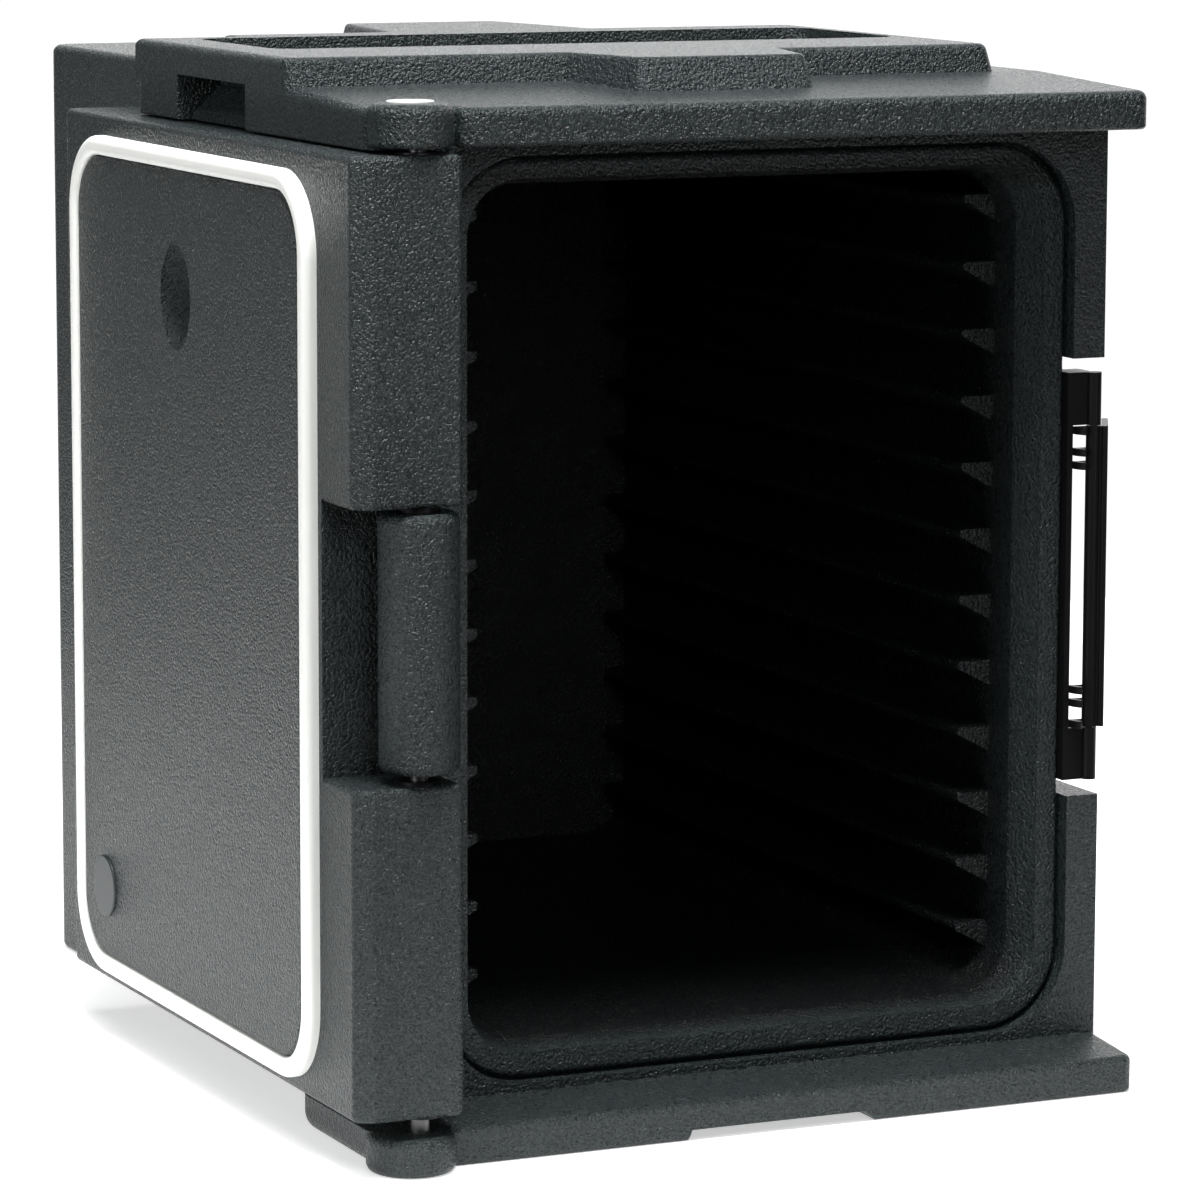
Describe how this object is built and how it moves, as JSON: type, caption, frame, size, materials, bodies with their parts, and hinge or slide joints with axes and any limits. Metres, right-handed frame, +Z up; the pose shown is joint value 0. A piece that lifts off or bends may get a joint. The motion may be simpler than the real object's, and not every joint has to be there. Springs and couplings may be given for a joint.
{
  "type": "insulated food carrier",
  "caption": "Front-loading insulated food pan carrier: foam-filled plastic cabinet with pan rails, a thick gasketed door folded back on its side hinge, side hand holds and a side latch.",
  "frame": {"origin": "middle of the cabinet's footprint, on the floor", "axes": "+Z up, +X to the right and +Y to the back, seen from in front of the opening"},
  "size_m": [0.5008, 0.639, 0.58],
  "materials": {
    "cabinet_shell": "charcoal rotomoulded polyethylene with a fine pebble grain",
    "door_shell": "charcoal rotomoulded polyethylene with a fine pebble grain",
    "foam": "cream rigid foam",
    "fill_plug": "smooth charcoal polyethylene",
    "gasket": "off-white food-grade thermoplastic rubber, satin",
    "hinge_pin": "brushed stainless steel",
    "pin_cap": "light grey plastic, satin",
    "bush": "black acetal, satin",
    "latch_nylon": "black glass-filled nylon, satin",
    "fasteners": "stainless steel",
    "insert": "knurled brass",
    "keeper": "stainless rod",
    "vent_cap": "black nylon, satin",
    "vent_seal": "off-white rubber"
  },
  "bodies": {
    "cabinet": {"body_shell": "cabinet_shell", "body_foam_core": "foam", "body_fill_plug": "fill_plug", "upper_hinge_pin": "hinge_pin", "lower_hinge_pin": "hinge_pin", "top_pin_cap": "pin_cap", "bottom_pin_cap": "pin_cap", "latch_base": "latch_nylon", "latch_upper_pivot_pin": "fasteners", "latch_lower_pivot_pin": "fasteners", "latch_inserts": "insert", "latch_screws": "fasteners"},
    "door": {"door_shell": "door_shell", "door_foam_core": "foam", "door_gasket": "gasket", "door_fill_plug": "fill_plug", "latch_keeper_rod": "keeper", "vent_seal": "vent_seal", "upper_block_top_bush": "bush", "upper_block_bottom_bush": "bush", "lower_block_top_bush": "bush", "lower_block_bottom_bush": "bush"},
    "vent_dial": {"vent_cap": "vent_cap"},
    "latch_handle": {"latch_lever": "latch_nylon"}
  },
  "joints": [
    {"name": "door_hinge", "type": "hinge", "parent": "cabinet", "child": "door", "pos_m": [-0.221, -0.3295, 0.28], "axis": [0, 0, 1], "range_deg": [0, 270]},
    {"name": "latch_pivot", "type": "hinge", "parent": "cabinet", "child": "latch_handle", "pos_m": [0.2055, -0.2845, 0.283], "axis": [0, 0, 1], "range_deg": [0, 26]},
    {"name": "vent_turn", "type": "hinge", "parent": "door", "child": "vent_dial", "pos_m": [-0.2049, -0.0975, 0.444], "axis": [1, 0, 0], "range_deg": [0, 90]}
  ]
}
